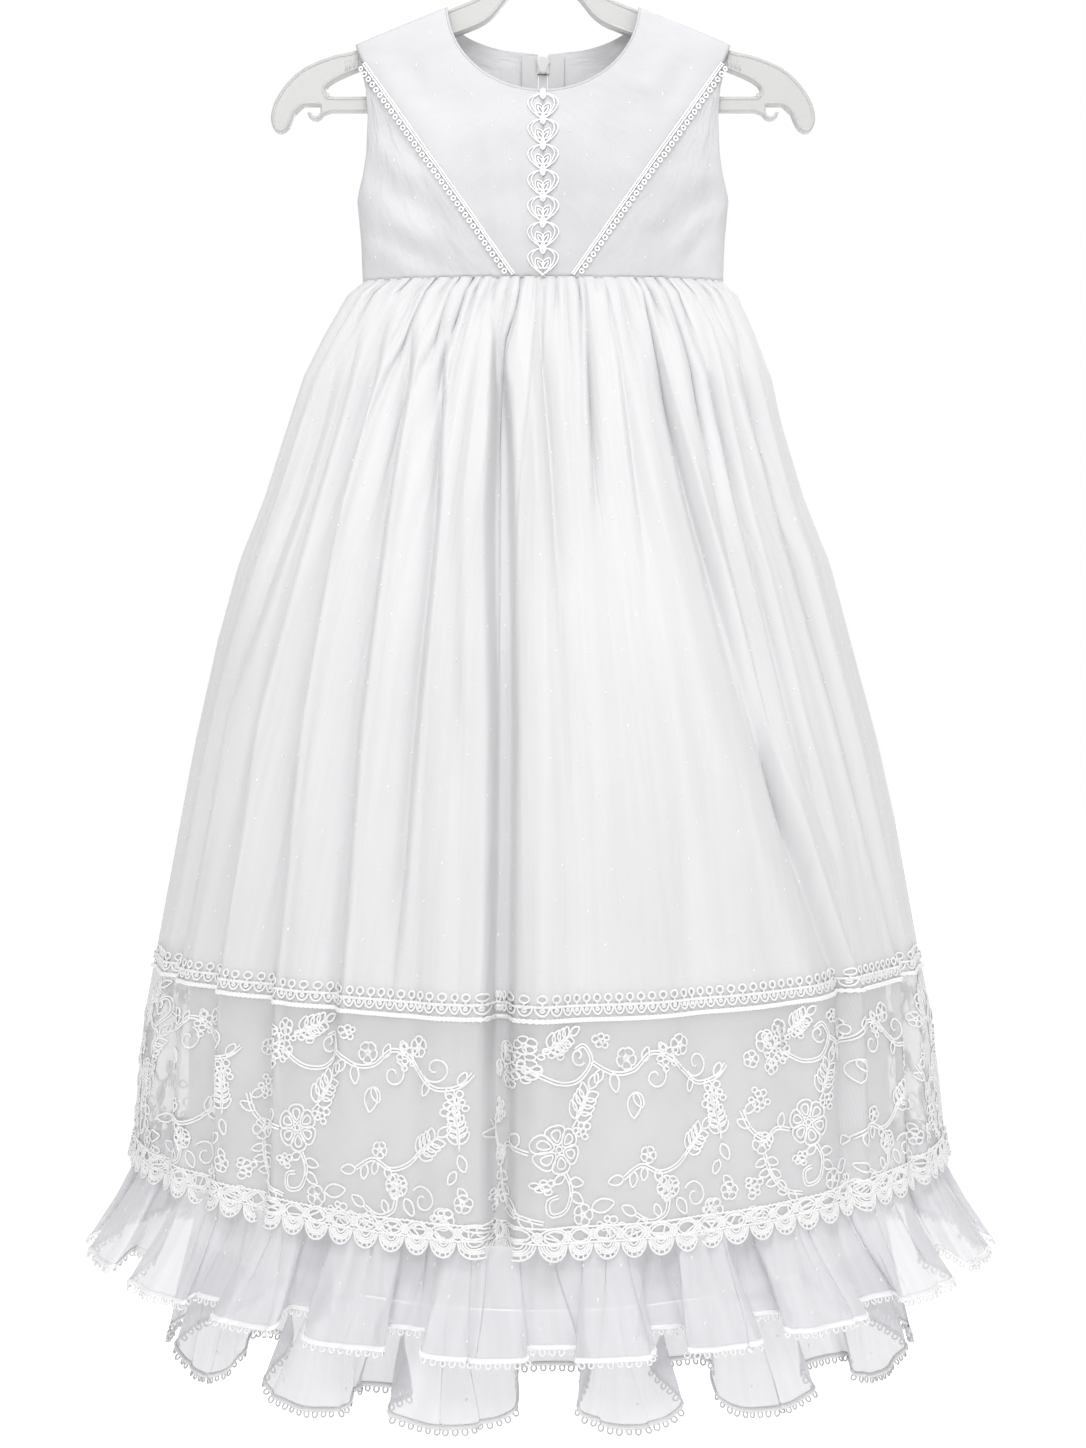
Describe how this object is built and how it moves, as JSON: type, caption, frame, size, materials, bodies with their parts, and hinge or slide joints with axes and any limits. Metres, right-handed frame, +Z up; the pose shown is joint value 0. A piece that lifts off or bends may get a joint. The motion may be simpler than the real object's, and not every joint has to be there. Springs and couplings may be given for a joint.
{
  "type": "christening gown on a hanger",
  "caption": "Long sleeveless baby gown of white dotted organza with a gathered skirt, lace band and ruffled hem, on a moulded plastic hanger with a fixed hook.",
  "frame": {"origin": "highest point inside the hanger's hook, on the gown's middle plane, where a rod carries it", "axes": "+X across the gown towards the wearer's left, the front faces -Y, +Z up"},
  "size_m": [0.556, 0.4268, 0.9411],
  "materials": {
    "organza": "sheer crisp white organza with small woven dots",
    "bodice_cotton": "smooth white cotton satin under dotted organza",
    "lining": "plain white lining",
    "tulle": "fine net with corded embroidery",
    "lace_thread": "raised white lace thread",
    "satin_binding": "narrow satin binding with thread loops",
    "hanger_plastic": "off-white moulded plastic, satin sheen",
    "zip_nylon": "white nylon coil and painted slider"
  },
  "bodies": {
    "gown": {"hanger": "hanger_plastic", "bodice_front_centre": "bodice_cotton", "bodice_front_side_l": "bodice_cotton", "bodice_front_side_r": "bodice_cotton", "bodice_back_l": "bodice_cotton", "bodice_back_r": "bodice_cotton", "bodice_braid_l": "lace_thread", "bodice_braid_r": "lace_thread", "bodice_lace_centre": "lace_thread", "skirt_front": "organza", "skirt_back": "organza", "underskirt_front": "lining", "underskirt_back": "lining", "lace_band_front": "tulle", "lace_band_back": "tulle", "band_braid_front": "lace_thread", "band_braid_back": "lace_thread", "band_cord_front": "lace_thread", "band_cord_back": "lace_thread", "scallop_lace_front": "lace_thread", "scallop_lace_back": "lace_thread", "ruffle_upper_front": "organza", "ruffle_upper_back": "organza", "ruffle_upper_binding_front": "satin_binding", "ruffle_upper_binding_back": "satin_binding", "ruffle_lower_front": "organza", "ruffle_lower_back": "organza", "ruffle_lower_binding_front": "satin_binding", "ruffle_lower_binding_back": "satin_binding", "zip_tape_l": "lining", "zip_tape_r": "lining", "zip_coil": "zip_nylon", "zip_slider": "zip_nylon"},
    "zip_pull": {"zip_pull": "zip_nylon"}
  },
  "joints": [
    {"name": "zip_pull_hinge", "type": "hinge", "parent": "gown", "child": "zip_pull", "pos_m": [0, 0.01425, -0.132], "axis": [1, 0, 0], "range_deg": [0, 170]}
  ]
}
